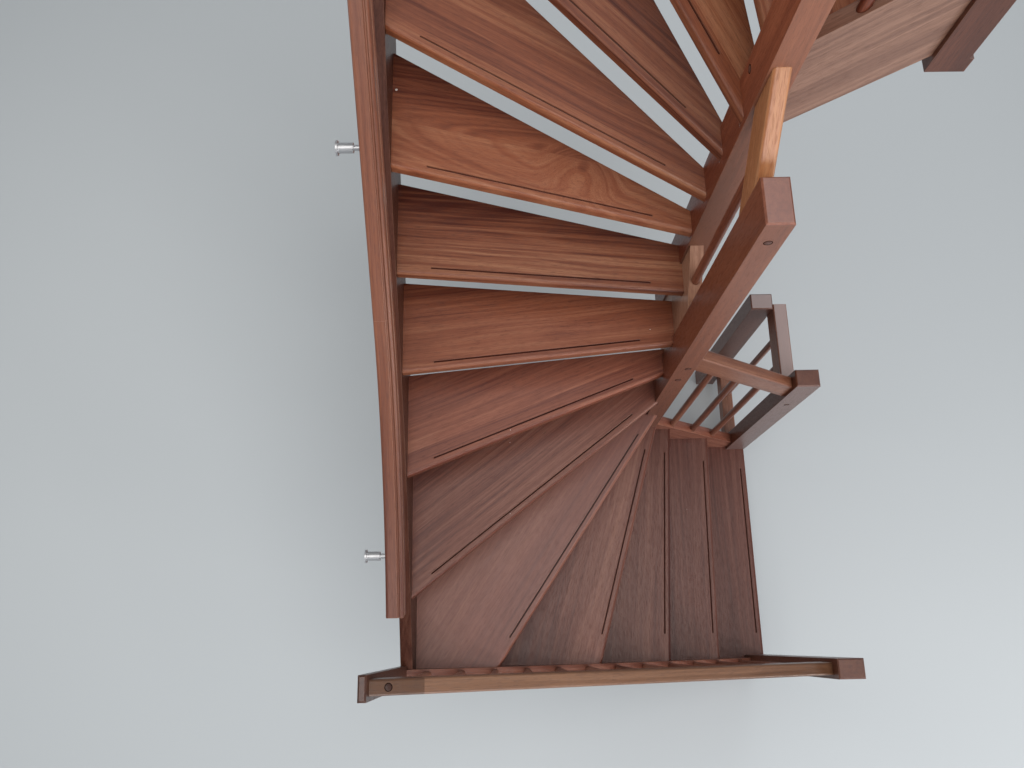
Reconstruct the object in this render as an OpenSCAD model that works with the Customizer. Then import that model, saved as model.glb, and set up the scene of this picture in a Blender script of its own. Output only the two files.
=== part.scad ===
// Half-turn winder stair in varnished hardwood with open risers.
// Origin: centre of the foot of the lower tall newel. +Z up. The bottom flight
// climbs towards -X, the middle flight along +Y beside a wall, the top flight
// towards +X up to the floor above.

/* [Steps] */
// Height of one step
riser_h = 180; // [165:1:195]
// Thickness of a tread
tread_t = 38; // [32:1:44]
// Radius of the rounded edges of a nose
nose_r = 10; // [4:1:13]
// How far a tread runs on behind the nose above it
tread_lap = 45; // [38:1:56]
// Width of the grip groove in a tread
groove_w = 5.5; // [3:0.5:6]
// Depth of the grip groove
groove_deep = 4; // [2:0.5:5]
// Distance from the nose to the grip groove
groove_back = 23.5; // [20:0.5:40]
// Length of plain tread beyond each end of the groove
groove_stop = 100; // [60:5:140]
// The same at the inner end of tread 10
groove_stop_upper = 117; // [100:1:130]
// Length that this grows by with each of treads 11 to 13
groove_stop_more = 16; // [8:1:18]

/* [Plan] */
// Clear width of the bottom and top flights between their strings
flight_w = 896; // [850:1:950]
// Clear width of the middle flight
middle_w = 837; // [800:1:900]
// Distance between the inner lines of the bottom and top flights
well_w = 273; // [262:1:290]
// Distance from the tall newels' middle to the first nose
bottom_run = 518; // [490:1:560]
// Distance from the first nose to the second at the inner string
step_two = 202; // [190:1:215]
// Distance from the first nose to the third at the inner string
step_three = 395; // [380:1:410]
// Distance from the tall newels' middle to the landing nose
landing_run = 210; // [190:1:225]
// Distance from the tall newels' middle to the edge of the floor above
floor_run = 371; // [350:1:390]
// Thickness of the floor above at its edge
floor_t = 184; // [150:1:210]

/* [Winders] */
// Distance from the lower tall newel to nose 4 on the inner string
nose_04 = 14; // [10:0.5:20]
// Distance of nose 5 from the middle of that newel, towards the flight below
nose_05 = 8; // [5:1:14]
// Distance of nose 6 from the middle of that newel, away from the flight below
nose_06 = 20; // [14:0.5:20]
// Distance of nose 7 before the middle of the newel's side
nose_07 = 9; // [4:1:14]
// Distance of nose 8 behind the middle of the newel's side
nose_08 = 32.5; // [26:0.5:36]
// Distance of nose 9 behind that newel, on the middle string
nose_09 = 75; // [65:1:85]
// Distance of nose 10 from the front of the upper tall newel
nose_10 = 13; // [8:1:18]
// Distance of nose 11 from the front of that newel
nose_11 = 24; // [20:1:30]
// Distance of nose 12 from the front of that newel
nose_12 = 35; // [32:1:44]
// Distance of nose 13 from the front of that newel
nose_13 = 15; // [14:1:24]
// Distance of nose 14 from the corner at the back of that newel
nose_14 = 4; // [1:0.5:4]

/* [Newels] */
// Size of a tall newel across the stair's middle flight
tall_w = 61; // [56:1:68]
// Size of a tall newel along the middle flight
tall_d = 108; // [96:1:116]
// Size of a start newel along the bottom flight
start_w = 81; // [70:1:90]
// Size of a start newel across the bottom flight
start_d = 60; // [50:1:70]
// Rebate in the top newel where it laps the edge of the floor above
newel_notch = 8; // [4:1:12]
// Thickness of the half post on the wall
half_post_t = 20; // [16:1:30]
// Height of a tall newel above its handrail
tall_rise = 74; // [50:1:100]
// Height of any other newel above its handrail
newel_rise = 46; // [30:1:70]
// Chamfer round the top of a newel
newel_chamfer = 4; // [2:0.5:6]
// How far a newel hangs below the string it carries
newel_drop = 75; // [40:1:120]
// How far the top newel hangs below its string
top_drop = 36; // [5:1:60]
// Depth of the housings cut in newels for the treads
newel_house = 10; // [6:1:11]

/* [Strings] */
// Thickness of a string
string_t = 38; // [32:1:44]
// Depth of the housings cut in strings for the treads
string_house = 12; // [8:1:15]
// Height of a string's top edge above the line of the noses
string_margin = 22; // [15:1:30]
// Height of a string measured plumb
string_deep = 299; // [296:1:330]
// Height of the short middle string measured plumb
middle_deep = 455; // [450:1:480]
// Height of the short middle string's top above nose 9, plumb
middle_margin = 67; // [50:1:80]
// How far the short middle string lies off the tall newels' middle line
middle_shift = 5; // [0:1:8]
// Length of nose line averaged on each side to ease a string's edge
string_ease = 240; // [120:10:300]
// Pitch of the short middle string
middle_pitch = 31.5; // [28:0.5:35]
// Pitch of the short upper string and its handrail
top_pitch = 45; // [43:0.5:47]

/* [Handrails] */
// Width of a handrail
rail_w = 38; // [34:1:44]
// Height of a handrail's section
rail_h = 85; // [70:1:95]
// Radius of a handrail's upper edges
rail_r = 6; // [3:0.5:10]
// Height of the inner handrails above their strings, plumb at the end newels
inner_rail_up = 841; // [800:1:880]
// Pitch of the inner lower handrail
inner_rail_pitch = 40.4; // [38:0.1:43]
// Height of the outer handrail at the start newel
outer_rail_z = 1182; // [1150:1:1220]
// Pitch of the outer handrail
outer_rail_pitch = 26.4; // [24:0.1:28]
// Height of the middle handrail above nose 8, plumb at the lower tall newel
middle_rail_up = 889; // [860:1:920]
// Pitch of the middle handrail
middle_rail_pitch = 50.5; // [47:0.1:54]

/* [Wall handrail] */
// Width of the wall handrail
wall_rail_w = 40; // [37:1:46]
// Height of the wall handrail's section
wall_rail_h = 60; // [50:1:70]
// Clear distance between the wall and the wall handrail
wall_rail_gap = 65; // [50:1:80]
// Distance of the groove in the wall handrail's top from its side towards the stair
cove_in = 9.5; // [8:0.5:12]
// Place along the middle flight where the wall handrail's lower bend starts
wall_rail_y = -180; // [-220:1:-140]
// Height of the wall handrail's top at that place
wall_rail_z = 2226; // [2190:1:2260]
// Pitch of the wall handrail between its bends
wall_rail_pitch = 41.4; // [39:0.1:44]
// Run of the wall handrail between its bends
wall_rail_run = 622; // [560:1:680]
// Radius of the wall handrail's bends, at its top
wall_rail_r = 1390; // [1300:10:1480]
// Angle that the wall handrail turns through in each bend
wall_rail_bend = 28.2; // [24:0.1:32]
// Angle along a bend from the wall handrail's end to its bracket
bracket_turn = 5.6; // [4:0.1:10]
// Run from the lower bend to the bracket between the bends
bracket_run = 336; // [300:1:400]
// How far a bracket's arm lies below the wall handrail
arm_drop = 80; // [60:1:100]
// Diameter of a bracket's wall plate
plate_d = 32; // [28:1:50]
// Diameter of a bracket's boss
boss_d = 22; // [16:1:26]
// How far a bracket's boss stands out from the wall
boss_len = 36; // [28:1:44]
// Diameter of a bracket's arm
arm_d = 12; // [10:1:16]

/* [Spindles] */
// Diameter of a spindle
spindle_d = 24; // [20:1:28]
// Depth of a spindle in its rail or string
spindle_sink = 12; // [8:1:15]
// Number of spindles on the outer side
outer_spindle_n = 12; // [10:1:13]
// Distance from the half post to the first outer spindle
outer_spindle_first = 65; // [40:1:90]
// Distance from the last outer spindle to the start newel
outer_spindle_last = 52; // [40:1:90]
// Number of spindles on the lower inner side
inner_spindle_n = 3; // [2:1:4]
// Number of spindles on the upper inner side
upper_spindle_n = 2; // [1:1:3]
// Number of spindles in the floor guard
guard_spindle_n = 2; // [1:1:3]

/* [Floor guard] */
// Height of the floor guard's rail
guard_h = 970; // [900:5:1000]
// Length of the floor guard's rails
guard_run = 316; // [280:1:360]
// Width of the floor guard's rails
guard_w = 50; // [44:1:60]
// Height of the top rail's section
guard_rail_h = 80; // [60:1:90]
// Height of the bottom rail's section
guard_low_h = 60; // [50:1:80]
// Height of the bottom rail above the floor
guard_low_z = 75; // [50:1:100]
// Length of rail that laps the guard post
guard_lap = 18; // [14:1:50]

/* [Hidden] */

// Colours of the varnished wood, by tone
wood_tread = "#8a5140";
wood_newel = "#7c4433";
wood_string = "#7a4434";
wood_rail = "#a5694a";
wood_spindle = "#8e5339";
metal = "#b9babc";

// Clearance round a housed end
ease = 0.3;
// A length longer than the stair, for cutting
far = 6000;
// Smoothness of round members and of small round edges
round_fn = 32;
// Facets of a full circle at the wall handrail's bends
bend_fn = 240;

// Faces of the strings that the treads meet, as plan coordinates
half_t = string_t / 2;
middle_x = -middle_shift;
inner_x = middle_x - half_t;
bottom_in_y = -half_t;
top_in_y = well_w + half_t;
south_y = bottom_in_y - flight_w;
west_x = inner_x - middle_w;
north_y = top_in_y + flight_w;
wall_x = west_x - string_t;
north_wall_y = north_y + string_t;
outer_line_y = south_y - half_t;

// Places of the newels, each by its low corner and its size
left = -tall_w / 2;
right = tall_w / 2;
front = -tall_d / 2;
lower_back = tall_d / 2;
upper_front = well_w - tall_d / 2;
lower_at = [left, front];
upper_at = [left, upper_front];
start_in_at = [bottom_run - start_w, -start_d / 2];
start_out_at = [bottom_run - start_w, outer_line_y - start_d / 2];
top_at = [floor_run + newel_notch - start_w, well_w - start_d / 2];

// Tops of the short strings
function rise(pitch, run) = run * tan(pitch);
low_slope = 2 * riser_h / step_three;
function low_string_top(x) = riser_h + string_margin + low_slope * (bottom_run - x);
nose_9_z = 9 * riser_h;
function mid_string_top(y) = nose_9_z + middle_margin
    + rise(middle_pitch, y - lower_back - nose_09);
landing_z = 15 * riser_h;
function top_string_top(x) = landing_z + string_margin + rise(top_pitch, x - landing_run);

// Tops of the handrails
low_rail_z = low_string_top(start_in_at[0]) + inner_rail_up;
function low_rail_top(x) = low_rail_z + rise(inner_rail_pitch, start_in_at[0] - x);
mid_rail_z = 8 * riser_h + middle_rail_up;
function mid_rail_top(y) = mid_rail_z + rise(middle_rail_pitch, y - lower_back);
function top_rail_top(x) = top_string_top(x) + inner_rail_up;
function outer_rail_top(x) = outer_rail_z + rise(outer_rail_pitch, start_out_at[0] - x);
// Centres of the wall handrail's bends, and its pitch at the brackets in them
low_bend = [wall_rail_y - wall_rail_r * sin(wall_rail_pitch),
    wall_rail_z + wall_rail_r * cos(wall_rail_pitch)];
high_bend = [wall_rail_y + wall_rail_run + wall_rail_r * sin(wall_rail_pitch),
    wall_rail_z + rise(wall_rail_pitch, wall_rail_run) - wall_rail_r * cos(wall_rail_pitch)];
bracket_pitch = wall_rail_pitch - wall_rail_bend + bracket_turn;
function plumb(h, pitch) = h / cos(pitch);

// Where each nose meets a newel or an inner string
nose_start = [
    [bottom_run, bottom_in_y],
    [bottom_run - step_two, bottom_in_y],
    [bottom_run - step_three, bottom_in_y],
    [right + nose_04, bottom_in_y],
    [nose_05, front],
    [-nose_06, front],
    [left, -nose_07],
    [left, nose_08],
    [inner_x, lower_back + nose_09],
    [left, upper_front + nose_10],
    [left, upper_front + nose_11],
    [left, upper_front + nose_12],
    [left, upper_front + nose_13],
    [left + nose_14, upper_front + tall_d],
    [landing_run, top_in_y]];
// Turn of each nose from the first one
nose_turn = [0, 1.6, 3.9, 16.35, 34.4, 52.6, 68.8, 84.6,
    95, 104.6, 122.4, 139.7, 158.3, 174.6, 180];

// Direction along a nose towards the outer side, and direction up the stair
function along(k) = [-sin(nose_turn[k]), -cos(nose_turn[k])];
function upward(k) = [-cos(nose_turn[k]), sin(nose_turn[k])];

// Length of a line from a point to the outer strings' faces
function reach(p, d) = min(
    d[0] < 0 ? (west_x - p[0]) / d[0] : far,
    d[1] < 0 ? (south_y - p[1]) / d[1] : far,
    d[1] > 0 ? (north_y - p[1]) / d[1] : far);
function nose_len(k) = reach(nose_start[k], along(k));
function nose_end(k) = nose_start[k] + nose_len(k) * along(k);

// Distance of a point on the outer line, measured from the first nose
corner_one = bottom_run - west_x;
corner_two = corner_one + north_y - south_y;
function outer_run(p) =
    p[1] < south_y + 1 ? bottom_run - p[0] :
    p[0] < west_x + 1 ? corner_one + p[1] - south_y :
    corner_two + p[0] - west_x;
// Height of the line of noses over the outer line, and the same line eased
nose_line = concat(
    [[-riser_h, riser_h - 0.79 * riser_h]],
    [for (k = [0:14]) [outer_run(nose_end(k)), (k + 1) * riser_h]],
    [[corner_two + far, landing_z]]);
ease_step = string_ease / 6;
function eased(s) = let (z = [for (d = [-6:6]) lookup(s + d * ease_step, nose_line)])
    z * [for (d = [-6:6]) 1] / 13;
// Over the outer line, the top and the bottom edge of the outer strings
function outer_top(s) = eased(s) + string_margin;
function outer_low(s) = max(0, outer_top(s) - string_deep);

// Extra points beyond the outer corners that a tread passes
south_west = [west_x - far / 4, south_y - far / 4];
north_west = [west_x - far / 4, north_y + far / 4];
function turn_points(k) =
    outer_run(nose_end(k)) < corner_one && outer_run(nose_end(k + 1)) + tread_lap > corner_one
        ? [south_west] :
    outer_run(nose_end(k)) < corner_two && outer_run(nose_end(k + 1)) + tread_lap > corner_two
        ? [north_west] : [];

// Length of nose that enters the newel or the string it starts from
function on_side(k) = nose_start[k][0] == left || nose_start[k][0] == inner_x;
function on_string(k) = nose_start[k][1] == bottom_in_y || nose_start[k][0] == inner_x
    || nose_start[k][1] == top_in_y;
function inset(k) = let (house = on_string(k) ? string_house : newel_house)
    min(house + 2, 1 + house / abs(on_side(k) ? sin(nose_turn[k]) : cos(nose_turn[k])));

// Lines inside the strings and newels that close the hidden ends of the treads
low_stop = bottom_in_y + string_house + 1;
side_stop = left + newel_house + 1;
mid_stop = inner_x + string_house + 1;
high_stop = upper_front + tall_d - newel_house - 1;
top_stop = top_in_y - string_house - 1;
function to_x(p, d, x) = p + (x - p[0]) / d[0] * d;
function to_y(p, d, y) = p + (y - p[1]) / d[1] * d;
// Where the back edge of the tread below nose k ends, and a corner passed before it
function back_end(k, q) =
    k < 4 ? to_y(q, along(k), low_stop) :
    k < 7 ? to_x(q, along(k), side_stop) :
    k < 13 ? to_x(q, along(k), mid_stop) :
    to_y(q, along(k), k == 13 ? high_stop : top_stop);
function inner_corner(k) =
    k == 7 || k == 8 ? [[mid_stop, lower_back - newel_house]] :
    k == 14 ? [[right - newel_house - 1, top_stop]] : [];

// Plan of a tread before it is trimmed to strings and newels
module wedge(k, grow) {
    p = nose_start[k] - grow * upward(k);
    q = nose_start[k + 1] + (tread_lap + grow) * upward(k + 1);
    polygon(concat(
        [p - inset(k) * along(k), p + (nose_len(k) + string_t) * along(k)],
        turn_points(k),
        [q + (nose_len(k + 1) + tread_lap) * along(k + 1), back_end(k + 1, q)],
        inner_corner(k + 1)));
}

// Floor plan that treads may fill, with the housings in strings and newels
module stair_plan(grow) {
    sink = string_house + grow;
    post = newel_house + grow;
    difference() {
        translate([west_x - sink, south_y - sink])
            square([far, north_y - south_y + 2 * sink]);
        translate([inner_x + sink, bottom_in_y + sink])
            square([far, top_in_y - bottom_in_y - 2 * sink]);
        translate(lower_at + [post, post]) square([tall_w - 2 * post, tall_d - post]);
        translate(upper_at + [post, 0]) square([tall_w - 2 * post, tall_d - post]);
        translate([start_in_at[0] - ease + grow, start_in_at[1] + post]) square([far, start_d]);
        translate([start_out_at[0] - ease + grow, start_out_at[1]])
            square([far, start_d - post]);
        translate([top_at[0] + post, top_at[1]]) square([far, start_d - post]);
    }
}

// Section of a board with a rounded nose, nose at x = 0, top at y = 0
module nose_section() {
    translate([nose_r, -tread_t]) square([far / 2, tread_t]);
    translate([0, nose_r - tread_t]) square([2 * nose_r, tread_t - 2 * nose_r]);
    translate([nose_r, -nose_r]) circle(r = nose_r, $fn = round_fn);
    translate([nose_r, nose_r - tread_t]) circle(r = nose_r, $fn = round_fn);
}
// Grip groove with round ends, along a nose
module groove(k) {
    stop = k == 3 ? groove_stop + bottom_in_y - front :
        k > 8 && k < 13 ? groove_stop_upper + (k - 9) * groove_stop_more : groove_stop;
    run = nose_len(k) - stop - groove_stop;
    translate([0, 0, (k + 1) * riser_h - groove_deep])
        translate(concat(nose_start[k] + groove_back * upward(k) + stop * along(k), [0]))
            rotate([0, 0, -90 - nose_turn[k]])
                linear_extrude(groove_deep + 1) {
                    translate([0, -groove_w / 2]) square([run, groove_w]);
                    circle(d = groove_w, $fn = round_fn);
                    translate([run, 0]) circle(d = groove_w, $fn = round_fn);
                }
}

// One tread, counted from zero, with its top at its step's height
module tread(k) {
    color(wood_tread) difference() {
        intersection() {
            translate([0, 0, (k + 1) * riser_h - tread_t - 1])
                linear_extrude(tread_t + 2) intersection() {
                    wedge(k, 0);
                    stair_plan(0);
                }
            translate(concat(nose_start[k] - 2 * tall_d * along(k), [(k + 1) * riser_h]))
                rotate([0, 0, -nose_turn[k]])
                    rotate([90, 0, 0])
                        mirror([1, 0, 0])
                            linear_extrude(far / 2) nose_section();
        }
        groove(k);
    }
}

// Hollow that a tread needs in a string or a newel
module tread_housing(k) {
    translate([0, 0, (k + 1) * riser_h - tread_t - ease])
        linear_extrude(tread_t + 2 * ease) intersection() {
            wedge(k, ease);
            stair_plan(ease);
        }
}
module nosing_plan(grow) {
    intersection() {
        translate([landing_run - grow, 0])
            square([floor_run - landing_run + grow, far]);
        stair_plan(grow);
    }
}
module nosing_housing() {
    translate([0, 0, landing_z - tread_t - ease])
        linear_extrude(tread_t + 2 * ease) nosing_plan(ease);
}

module landing_nosing() {
    color(wood_tread) difference() {
        intersection() {
            translate([0, 0, landing_z - tread_t - 1])
                linear_extrude(tread_t + 2) nosing_plan(0);
            translate([landing_run, far / 2, landing_z])
                rotate([90, 0, 0]) linear_extrude(far) nose_section();
        }
        groove(14);
    }
}

// A post with a chamfered top
module post(at, w, d, from, to) {
    c = newel_chamfer;
    translate([at[0], at[1], from]) intersection() {
        cube([w, d, to - from]);
        translate([0, d + 1, 0]) rotate([90, 0, 0]) linear_extrude(d + 2)
            polygon([[0, 0], [w, 0], [w, to - from - c], [w - c, to - from],
                [c, to - from], [0, to - from - c]]);
        translate([-1, 0, 0]) rotate([90, 0, 90]) linear_extrude(w + 2)
            polygon([[0, 0], [d, 0], [d, to - from - c], [d - c, to - from],
                [c, to - from], [0, to - from - c]]);
    }
}

module newel_lower() {
    top = mid_rail_z + tall_rise;
    color(wood_newel) difference() {
        post(lower_at, tall_w, tall_d, 0, top);
        for (k = [2:7]) tread_housing(k);
    }
}
upper_foot_z = mid_string_top(upper_front) - middle_deep - newel_drop;
module newel_upper() {
    top = top_rail_top(right) + tall_rise;
    color(wood_newel) difference() {
        post(upper_at, tall_w, tall_d, upper_foot_z, top);
        for (k = [8:13]) tread_housing(k);
    }
}
module newel_start_inner() {
    color(wood_newel) difference() {
        post(start_in_at, start_w, start_d, 0, low_rail_z + newel_rise);
        tread_housing(0);
    }
}
module newel_start_outer() {
    color(wood_newel) difference() {
        post(start_out_at, start_w, start_d, 0, outer_rail_z + newel_rise);
        tread_housing(0);
    }
}
top_foot_z = top_string_top(top_at[0]) - string_deep - top_drop;
module newel_top() {
    top = top_rail_top(top_at[0]) + newel_rise;
    color(wood_newel) difference() {
        post(top_at, start_w, start_d, top_foot_z, top);
        nosing_housing();
        translate([floor_run, top_at[1] - 1, landing_z - floor_t])
            cube([newel_notch + 1, start_d + 2, floor_t]);
    }
}
half_post_x = wall_x + half_post_t;
module wall_half_post() {
    foot = outer_low(bottom_run - half_post_x) - newel_drop / 3;
    color(wood_newel)
        post([wall_x, start_out_at[1]], half_post_t, start_d, foot,
            outer_rail_top(half_post_x) + newel_rise);
}

// A short string between two newels along X
module string_x(x0, x1, y, z0, z1, deep) {
    translate([0, y + half_t, 0]) rotate([90, 0, 0]) linear_extrude(string_t)
        polygon([[x0, max(0, z0 - deep)], [x0, z0], [x1, z1], [x1, max(0, z1 - deep)],
            if (z1 - deep < 0) [x1 - (deep - z1) / low_slope, 0]]);
}
module string_inner_lower() {
    x0 = right;
    x1 = start_in_at[0];
    color(wood_string) difference() {
        string_x(x0, x1, 0, low_string_top(x0), low_string_top(x1), string_deep);
        for (k = [0:3]) tread_housing(k);
        spindle_holes_inner_lower();
    }
}
module string_inner_upper() {
    x0 = right;
    x1 = top_at[0];
    color(wood_string) difference() {
        string_x(x0, x1, well_w, top_string_top(x0), top_string_top(x1), string_deep);
        tread_housing(13);
        nosing_housing();
        spindle_holes_inner_upper();
    }
}
module string_inner_middle() {
    y0 = lower_back;
    y1 = upper_front;
    z0 = mid_string_top(y0);
    z1 = mid_string_top(y1);
    color(wood_string) difference() {
        translate([inner_x, 0, 0]) rotate([90, 0, 90]) linear_extrude(string_t)
            polygon([[y0, z0 - middle_deep], [y0, z0], [y1, z1], [y1, z1 - middle_deep]]);
        for (k = [6:8]) tread_housing(k);
        spindle_hole_middle();
    }
}

// Outline of an outer string, drawn over the outer line from s0 to s1
edge_step = 45;
module eased_outline(s0, s1) {
    n = ceil((s1 - s0) / edge_step);
    runs = [for (i = [0:n]) s0 + (s1 - s0) * i / n];
    polygon(concat(
        [for (s = runs) [s - s0, outer_top(s)]],
        [for (i = [n:-1:0]) [runs[i] - s0, outer_low(runs[i])]]));
}
module string_outer_lower() {
    s0 = start_w;
    s1 = bottom_run - half_post_x;
    color(wood_string) difference() {
        translate([bottom_run - s0, outer_line_y - half_t, 0]) rotate([90, 0, 180])
            linear_extrude(string_t) eased_outline(s0, s1);
        for (k = [0:5]) tread_housing(k);
        spindle_holes_outer();
    }
}
module string_wall() {
    color(wood_string) difference() {
        translate([wall_x, south_y, 0]) rotate([90, 0, 90]) linear_extrude(string_t)
            eased_outline(corner_one, corner_two);
        for (k = [4:11]) tread_housing(k);
        translate([wall_x - 1, start_out_at[1], 0]) cube([half_post_t + 1, start_d, far]);
    }
}
module string_outer_upper() {
    s0 = corner_two - string_t;
    s1 = corner_two + floor_run - west_x;
    color(wood_string) difference() {
        translate([wall_x, north_wall_y, 0]) rotate([90, 0, 0]) linear_extrude(string_t)
            eased_outline(s0, s1);
        for (k = [10:13]) tread_housing(k);
        nosing_housing();
    }
}

// Section of a handrail with rounded upper edges, top middle at the origin
module rail_section(w, h) {
    translate([-w / 2, -h]) square([w, h - rail_r]);
    translate([rail_r - w / 2, -h]) square([w - 2 * rail_r, h]);
    for (side = [-1, 1]) translate([side * (w / 2 - rail_r), -rail_r])
        circle(r = rail_r, $fn = round_fn);
}
// A sloping handrail between two plumb faces; runs along +X from x0 to x1
module rail_run(x0, x1, z0, pitch, w, h) {
    intersection() {
        translate([x0, -w, -far]) cube([x1 - x0, 2 * w, 2 * far]);
        translate([x0, 0, z0]) rotate([0, -pitch, 0]) translate([-h, 0, 0])
            rotate([90, 0, 90]) linear_extrude((x1 - x0) / cos(pitch) + 2 * h)
                rail_section(w, h);
    }
}
module handrail_inner_lower() {
    x0 = right;
    x1 = start_in_at[0];
    color(wood_rail) difference() {
        translate([x1, 0, 0]) rotate([0, 0, 180])
            rail_run(0, x1 - x0, low_rail_z, inner_rail_pitch, rail_w, rail_h);
        spindle_holes_inner_lower();
    }
}
module handrail_inner_middle() {
    y0 = lower_back;
    y1 = upper_front;
    color(wood_rail) difference() {
        translate([middle_x, 0, 0]) rotate([0, 0, 90])
            rail_run(y0, y1, mid_rail_z, middle_rail_pitch, rail_w, rail_h);
        spindle_hole_middle();
    }
}
module handrail_inner_upper() {
    x0 = right;
    x1 = top_at[0];
    color(wood_rail) difference() {
        translate([0, well_w, 0])
            rail_run(x0, x1, top_rail_top(x0), top_pitch, rail_w, rail_h);
        spindle_holes_inner_upper();
    }
}
module handrail_outer() {
    x0 = half_post_x;
    x1 = start_out_at[0];
    color(wood_rail) difference() {
        translate([x1, outer_line_y, 0]) rotate([0, 0, 180])
            rail_run(0, x1 - x0, outer_rail_z, outer_rail_pitch, rail_w, rail_h);
        spindle_holes_outer();
    }
}

// Moulded section of the wall handrail, with a groove in its top and coves under its sides
cove_r = 3.2;
finger_r = 5;
module wall_rail_section() {
    difference() {
        rail_section(wall_rail_w, wall_rail_h);
        translate([wall_rail_w / 2 - cove_in, 0]) circle(r = cove_r, $fn = round_fn);
        for (side = [-1, 1]) translate([side * wall_rail_w / 2, -wall_rail_h / 2])
            circle(r = finger_r, $fn = round_fn);
    }
}
// A straight length butted between two bent ones, the lower one hollow upwards and the
// upper one downwards
wall_rail_x = wall_x + wall_rail_gap + wall_rail_w / 2;
module bend(centre, from) {
    translate(concat([wall_rail_x], centre)) rotate([90, 0, 90]) rotate(from)
        rotate_extrude(angle = wall_rail_bend, $fn = bend_fn) translate([wall_rail_r, 0])
            children();
}
module handrail_wall() {
    color(wood_rail) {
        bend(low_bend, wall_rail_pitch - wall_rail_bend - 90) rotate(90) wall_rail_section();
        translate([wall_rail_x, wall_rail_y, wall_rail_z]) rotate([wall_rail_pitch + 90, 0, 0])
            mirror([0, 0, 1]) translate([0, 0, ease])
                linear_extrude(wall_rail_run / cos(wall_rail_pitch) - 2 * ease)
                    wall_rail_section();
        bend(high_bend, wall_rail_pitch - wall_rail_bend + 90) rotate(-90) mirror([1, 0])
            wall_rail_section();
    }
}

// A bracket: wall plate with a boss, arm out from it, stem up to a plate under the rail
plate_t = 4;
saddle_t = 4;
saddle_l = 60;
saddle_w = 24;
module bracket(y, under, pitch) {
    z = under - arm_drop;
    translate([wall_x, y, z]) rotate([0, 90, 0]) {
        cylinder(d = plate_d, h = plate_t, $fn = round_fn);
        cylinder(d = boss_d, h = boss_len, $fn = round_fn);
        cylinder(d = arm_d, h = wall_rail_x - wall_x, $fn = round_fn);
    }
    translate([wall_rail_x, y, z]) sphere(d = arm_d, $fn = round_fn);
    intersection() {
        translate([wall_rail_x, y, z]) cylinder(d = arm_d, h = 2 * arm_drop, $fn = round_fn);
        translate([wall_rail_x, y, under - ease]) rotate([pitch, 0, 0])
            translate([-far / 2, -far / 2, -far]) cube(far);
    }
    translate([wall_rail_x, y, under - ease]) rotate([pitch, 0, 0])
        translate([-saddle_w / 2, -saddle_l / 2, -saddle_t])
            cube([saddle_w, saddle_l, saddle_t]);
}
// The plates are flat, so the one in the upper bend lies lower by that bend's sagitta
module rail_brackets() {
    outside = wall_rail_r + wall_rail_h;
    inside = wall_rail_r - wall_rail_h;
    q = bracket_pitch;
    color(metal) {
        bracket(low_bend[0] + outside * sin(q), low_bend[1] - outside * cos(q), q);
        bracket(wall_rail_y + bracket_run, wall_rail_z + rise(wall_rail_pitch, bracket_run)
            - plumb(wall_rail_h, wall_rail_pitch), wall_rail_pitch);
        bracket(high_bend[0] - inside * sin(q), high_bend[1] + inside * cos(q)
            - pow(saddle_l, 2) / inside / 8, q);
    }
}

// Spindles stand in a string and a handrail, sunk the same way in both
function even(a, b, n, i) = a + (b - a) * (i + 1) / (n + 1);
module spindle(x, y, low, high, grow) {
    translate([x, y, low - spindle_sink - grow])
        cylinder(d = spindle_d + 2 * grow, h = high - low + 2 * spindle_sink + 2 * grow,
            $fn = round_fn);
}
under_low_rail = plumb(rail_h, inner_rail_pitch);
module inner_lower_set(grow) {
    for (i = [0:inner_spindle_n - 1])
        let (x = even(right, start_in_at[0], inner_spindle_n, i))
            spindle(x, 0, low_string_top(x), low_rail_top(x) - under_low_rail, grow);
}
module spindle_holes_inner_lower() { inner_lower_set(ease); }
module spindles_inner_lower() { color(wood_spindle) inner_lower_set(0); }

module middle_set(grow) {
    y = (lower_back + upper_front) / 2;
    spindle(middle_x, y, mid_string_top(y),
        mid_rail_top(y) - plumb(rail_h, middle_rail_pitch), grow);
}
module spindle_hole_middle() { middle_set(ease); }
module spindle_middle() { color(wood_spindle) middle_set(0); }

module inner_upper_set(grow) {
    for (i = [0:upper_spindle_n - 1])
        let (x = even(right, top_at[0], upper_spindle_n, i))
            spindle(x, well_w, top_string_top(x),
                top_rail_top(x) - plumb(rail_h, top_pitch), grow);
}
module spindle_holes_inner_upper() { inner_upper_set(ease); }
module spindles_inner_upper() { color(wood_spindle) inner_upper_set(0); }

module outer_set(grow) {
    first = half_post_x + outer_spindle_first;
    last = start_out_at[0] - outer_spindle_last;
    for (i = [0:outer_spindle_n - 1])
        let (x = first + (last - first) * i / (outer_spindle_n - 1))
            spindle(x, outer_line_y, outer_top(bottom_run - x),
                outer_rail_top(x) - plumb(rail_h, outer_rail_pitch), grow);
}
module spindle_holes_outer() { outer_set(ease); }
module spindles_outer() { color(wood_spindle) outer_set(0); }

// Level guard on the lower floor, from the inner start newel to its own post
guard_x = bottom_run - start_w / 2;
guard_y = start_d / 2;
guard_end = guard_y + guard_run;
module guard_post() {
    color(wood_newel)
        post([guard_x - guard_w / 2 - start_w, guard_end - guard_lap], start_w, start_d, 0,
            guard_h);
}
module guard_top_rail() {
    color(wood_rail) difference() {
        translate([guard_x, 0, 0]) rotate([0, 0, 90])
            rail_run(guard_y, guard_end, guard_h, 0, guard_w, guard_rail_h);
        guard_set(ease);
    }
}
module guard_bottom_rail() {
    color(wood_rail) difference() {
        translate([guard_x, 0, 0]) rotate([0, 0, 90])
            rail_run(guard_y, guard_end, guard_low_z + guard_low_h, 0, guard_w, guard_low_h);
        guard_set(ease);
    }
}
module guard_set(grow) {
    for (i = [0:guard_spindle_n - 1])
        spindle(guard_x, even(guard_y, guard_end, guard_spindle_n, i),
            guard_low_z + guard_low_h, guard_h - guard_rail_h, grow);
}
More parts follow.
